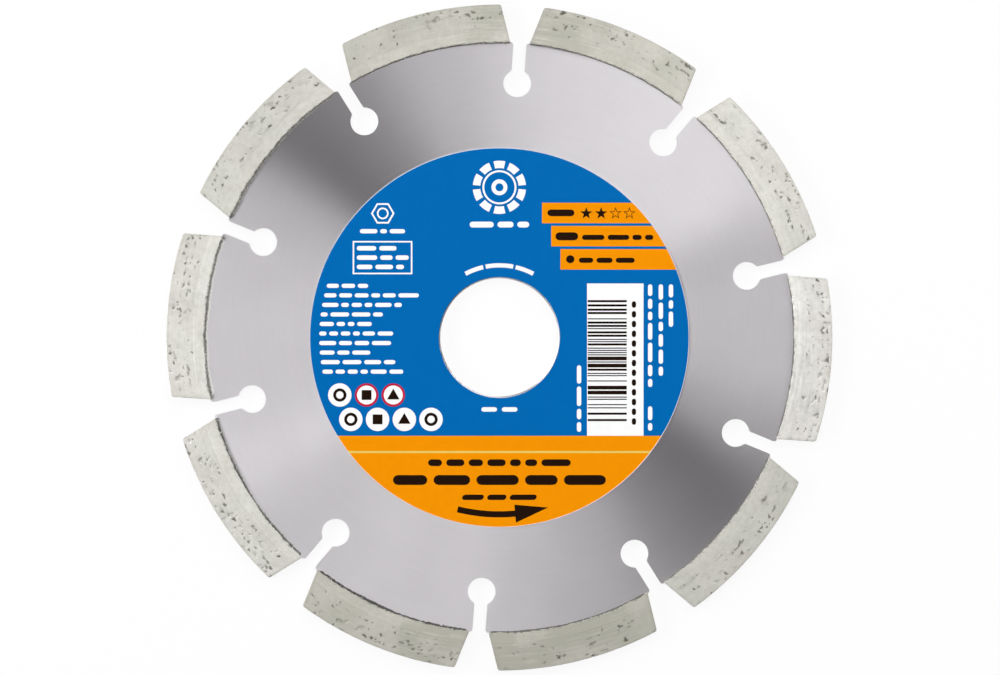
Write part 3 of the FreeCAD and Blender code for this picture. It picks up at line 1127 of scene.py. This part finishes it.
def steel_material():
    """Ground steel: fine lines round the axis, with faint scratches and soft clouds."""
    shader = Shader("ground_steel")
    outward, radius = turning(shader, GRIND_CENTRE)
    fine = ring_lines(shader, outward, radius, *STEEL_FINE_LINES)
    wide = ring_lines(shader, outward, radius, *STEEL_WIDE_LINES)
    cloud = shader.noise(*STEEL_CLOUD)
    line_tone = shader.around(wide, NOISE_SPAN, 0.0, STEEL_LINE_TONE)
    cloud_tone = shader.around(cloud, NOISE_SPAN, 0.0, STEEL_CLOUD_TONE)
    tone = shader.math("ADD", line_tone, cloud_tone)
    colour = shader.blend(tone, (-1.0, 1.0), 1.0, STEEL_DARK, STEEL_LIGHT)
    height = shader.math("ADD", shader.math("MULTIPLY", fine, STEEL_FINE_SHARE), wide)
    normal = shader.relief(height, *STEEL_RELIEF)
    return shader.finish(
        Base_Color=colour,
        Metallic=1.0,
        Roughness=shader.around(wide, NOISE_SPAN, *STEEL_ROUGHNESS),
        Anisotropic=STEEL_ANISOTROPY,
        Tangent=outward,
        Normal=normal,
    )


def sinter_material(name, lightness):
    """Ground sintered metal with soft patches, faint grinding streaks and dull pits."""
    shader = Shader(name)
    outward = turning(shader)[0]
    patch = shader.noise(*SINTER_PATCHES)
    blush = shader.noise(*SINTER_BLUSHES)
    mottle = shader.noise(*SINTER_MOTTLE)
    speck = shader.noise(*SINTER_SPECKS)
    streak = shader.attribute("streak")
    # partly painted light: each segment's paleness follows how much light falls on it
    body = shader.mix(shader.attribute("pale"), SINTER_OLIVE, SINTER_PALE)
    light = shader.blend(blush, BLUSH_SPAN, SINTER_BLUSH_SHARE, body, SINTER_BLUSH)
    raised = shader.math("SUBTRACT", streak, STREAK_MIDDLE)
    streaked = shader.math("MULTIPLY", raised, shader.span(blush, *STREAK_FADE))
    patched = shader.math("MULTIPLY", patch, PATCH_SHARE)
    tone = shader.math("ADD", patched, shader.math("MULTIPLY", mottle, 1 - PATCH_SHARE))
    tone = shader.math("SUBTRACT", tone, shader.math("MULTIPLY", streaked, STREAK_TONE))
    ground = shader.mix(shader.span(tone, *TONE_SPAN, SINTER_SHADE, 0.0), light, SINTER_DARK)
    grained = shader.blend(speck, SPECK_SPAN, SPECK_DARKNESS, ground, PIT_COLOUR)
    tail_share = shader.math("MULTIPLY", shader.attribute("tail"), TAIL_DARKNESS)
    trailed = shader.mix(tail_share, grained, PIT_COLOUR)
    pitted = shader.blend(shader.attribute("grit"), (0.0, 1.0), 1.0, trailed, PIT_COLOUR)
    colour = shader.mix(lightness, (0.0, 0.0, 0.0), pitted)
    normal = shader.relief(speck, *SINTER_RELIEF)
    return shader.finish(
        Base_Color=colour,
        Metallic=SINTER_METALLIC,
        Roughness=shader.around(streak, (0.0, 1.0), *SINTER_ROUGHNESS),
        Anisotropic=SINTER_ANISOTROPY,
        Tangent=outward,
        Normal=normal,
    )


def weld_material():
    """Dull weld metal, darker in random places, with painted shade that darkens whole beads, a few
    bright flecks and a painted highlight on the toe.
    """
    shader = Shader("weld_metal")
    burn = shader.noise(*WELD_TONES)
    fleck = shader.noise(*WELD_FLECKS)
    plain = shader.blend(burn, NARROW_SPAN, 1.0, WELD_DARK, WELD_LIGHT)
    # painted shade: whole beads are mixed towards a near black
    bead_shade = shader.mix(shader.attribute("bead_shade"), plain, WELD_PAINTED_SHADE)
    flecked = shader.blend(fleck, WELD_FLECK_SPAN, WELD_FLECK_SHARE, bead_shade, WELD_FLECK_AND_HIGHLIGHT)
    # painted highlight: the toe is mixed towards the bright fleck colour
    colour = shader.mix(shader.attribute("toe_highlight"), flecked, WELD_FLECK_AND_HIGHLIGHT)
    normal = shader.relief(burn, *WELD_RELIEF)
    return shader.finish(
        Base_Color=colour,
        Metallic=WELD_METALLIC,
        Roughness=WELD_ROUGHNESS,
        Normal=normal,
    )


def ink_material(name, colour, shade_share):
    """Satin ink over ground steel, whose lines show faintly in the gloss."""
    shader = Shader(name)
    outward, radius = turning(shader)
    lines = ring_lines(shader, outward, radius, *INK_LINES)
    cloud = shader.noise(*INK_CLOUD)
    shade = tuple(channel * shade_share for channel in colour)
    tinted = shader.blend(cloud, NARROW_SPAN, 1.0, shade, colour)
    normal = shader.relief(lines, *INK_RELIEF)
    return shader.finish(
        Base_Color=tinted,
        Roughness=shader.span(lines, *NOISE_SPAN, *INK_ROUGHNESS),
        Specular_IOR_Level=INK_GLOSS,
        Normal=normal,
    )


def dress_node(node, material):
    """Give a CAD node its material."""
    materials = frame["nodes"][node].data.materials
    materials.clear()
    materials.append(material)


def build_blade():
    """Every finish and every piece of the blade."""
    sinter = sinter_material("sintered_metal", SINTER_LIGHTNESS)
    foot_metal = sinter_material("foot_metal", FOOT_LIGHTNESS)
    weld = weld_material()
    inks = {}
    for name, setting in INKS.items():
        inks[f"ink_{name}"] = ink_material(f"{name}_ink", *setting)
    dress_node("steel_core", steel_material())
    for row in frame["record"]["subparts"]:
        if row["material_slot"] in inks:
            dress_node(row["node"], inks[row["material_slot"]])

    layered = [nodes_named(start) for start in ("diamond_segment_", "segment_foot_", "weld_beads_")]
    for number, (segment, foot, bead) in enumerate(zip(*layered), start=1):
        look = dict(zip(LOOK_NAMES, LOOKS[number - 1]))
        points = node_points(segment)
        inner = np.hypot(points[:, 0], points[:, 1]).min()
        name = f"sintered_layer_{number:02d}"
        seed = LAYER_SEED + number
        layer = sintered_block(name, segment, inner, OUTER_RADIUS, BLOCK_STEP, look, seed)
        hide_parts(segment)
        dress(layer, sinter)
        name = f"ground_foot_{number:02d}"
        base = sintered_block(name, foot, RIM_RADIUS, inner, FOOT_STEP, look, seed, is_foot=True)
        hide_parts(foot)
        dress(base, foot_metal)
        weld_piece = weld_bead(f"rough_weld_{number:02d}", bead, look, WELD_SEED + number)
        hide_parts(bead)
        dress(weld_piece, weld)

    white_print(inks["ink_white"])
    dark_print(inks["ink_black"])


# Camera, floor and lights

FLOOR_HALF = 3000.0
FLOOR_GREY = (0.85, 0.85, 0.85, 1.0)
FLOOR_WHITE_SHARE = 0.92  # how much of what the camera sees of the floor is plain white
HORIZON_STRENGTH = 0.6
HORIZON_FADE = 0.5  # the sine of the elevation at which the horizon's light has faded
SKY_STRENGTH = 0.02
# Azimuth from +X, elevation, distance, width, height and brightness of each softbox
LAMPS = {
    "key_left": (180.0, 30.0, 1.2, 1.35, 0.4, 7.1),
    "key_left_near": (180.0, 25.0, 0.45, 0.5, 0.15, 1.8),
    "soft_right": (48.0, 55.0, 0.6, 0.28, 0.2, 5.4),
    "soft_right_low": (48.0, 35.0, 1.2, 0.5, 0.4, 2.5),
    "soft_top": (92.0, 55.0, 1.2, 0.6, 0.4, 3.8),
    "soft_top_low": (85.0, 30.0, 1.2, 0.5, 0.4, 3.7),
    "soft_top_left": (120.0, 60.0, 1.2, 0.4, 0.4, 1.8),
    "rim_right": (358.0, 18.0, 0.4, 0.2, 0.12, 2.9),
    "fill_bottom": (250.0, 30.0, 1.2, 0.5, 0.4, 1.4),
}


def make_camera():
    """A camera straight above the blade at the photograph's scale."""
    data = bpy.data.cameras.new("camera")
    data.lens = LENS
    data.sensor_width = SENSOR_WIDTH
    camera = bpy.data.objects.new("camera", data)
    frame_width = FRAME_WIDTH_PX / BLADE_SCALE_PX
    distance = LENS * frame_width / SENSOR_WIDTH
    camera.location = (CAMERA_X * MM, 0.0, (BLADE_TOP + distance) * MM)
    bpy.context.scene.collection.objects.link(camera)
    bpy.context.scene.camera = camera


def make_floor():
    """A pale floor that is white where no shadow falls."""
    square = plain_bar(-FLOOR_HALF, FLOOR_HALF, -FLOOR_HALF, FLOOR_HALF)
    floor = make_mesh("floor", [(x, y, FLOOR_Z) for x, y in square], [(0, 1, 2, 3)])
    shader = Shader("white_floor")
    rays = shader.add("ShaderNodeLightPath").node.outputs
    seen = shader.math("MAXIMUM", rays["Is Camera Ray"], rays["Is Glossy Ray"])
    seen = shader.math("MAXIMUM", seen, rays["Is Transmission Ray"])
    paper = shader.add("ShaderNodeBsdfDiffuse", {"Color": FLOOR_GREY})
    glow = shader.add("ShaderNodeEmission", {"Color": (1.0, 1.0, 1.0, 1.0), "Strength": 1.0})
    share = shader.math("MULTIPLY", seen, FLOOR_WHITE_SHARE)
    surface = shader.add("ShaderNodeMixShader", {0: share, 1: paper, 2: glow})
    shader.add("ShaderNodeOutputMaterial", {"Surface": surface})
    floor.data.materials.append(shader.owner)


def make_world():
    """A sky that is pale at the horizon and dim overhead."""
    shader = Shader("studio", bpy.data.worlds)
    direction = shader.add("ShaderNodeTexCoord").node.outputs["Generated"]
    up = shader.add("ShaderNodeSeparateXYZ", {0: direction}).node.outputs["Z"]
    strength = shader.span(up, 0.0, HORIZON_FADE, HORIZON_STRENGTH, SKY_STRENGTH)
    sky = shader.add("ShaderNodeBackground", {"Strength": strength})
    shader.add("ShaderNodeOutputWorld", {"Surface": sky})
    bpy.context.scene.world = shader.owner


def make_lamp(name, azimuth, elevation, distance, width, height, strength):
    """A softbox that faces the blade, with a strength as the brightness of its face."""
    data = bpy.data.lights.new(name, "AREA")
    data.shape = "RECTANGLE"
    data.size = width
    data.size_y = height
    data.energy = strength * math.pi * width * height
    lamp = bpy.data.objects.new(name, data)
    level, up = on_circle(0.0, 0.0, distance, elevation)
    lamp.location = (*on_circle(0.0, 0.0, level, azimuth), up)
    lamp.rotation_mode = "QUATERNION"
    lamp.rotation_quaternion = lamp.location.to_track_quat("Z", "Y")
    bpy.context.scene.collection.objects.link(lamp)


bpy.context.scene.view_settings.view_transform = "Standard"
make_camera()
build_blade()
make_floor()
make_world()
for name, setting in LAMPS.items():
    make_lamp(name, *setting)
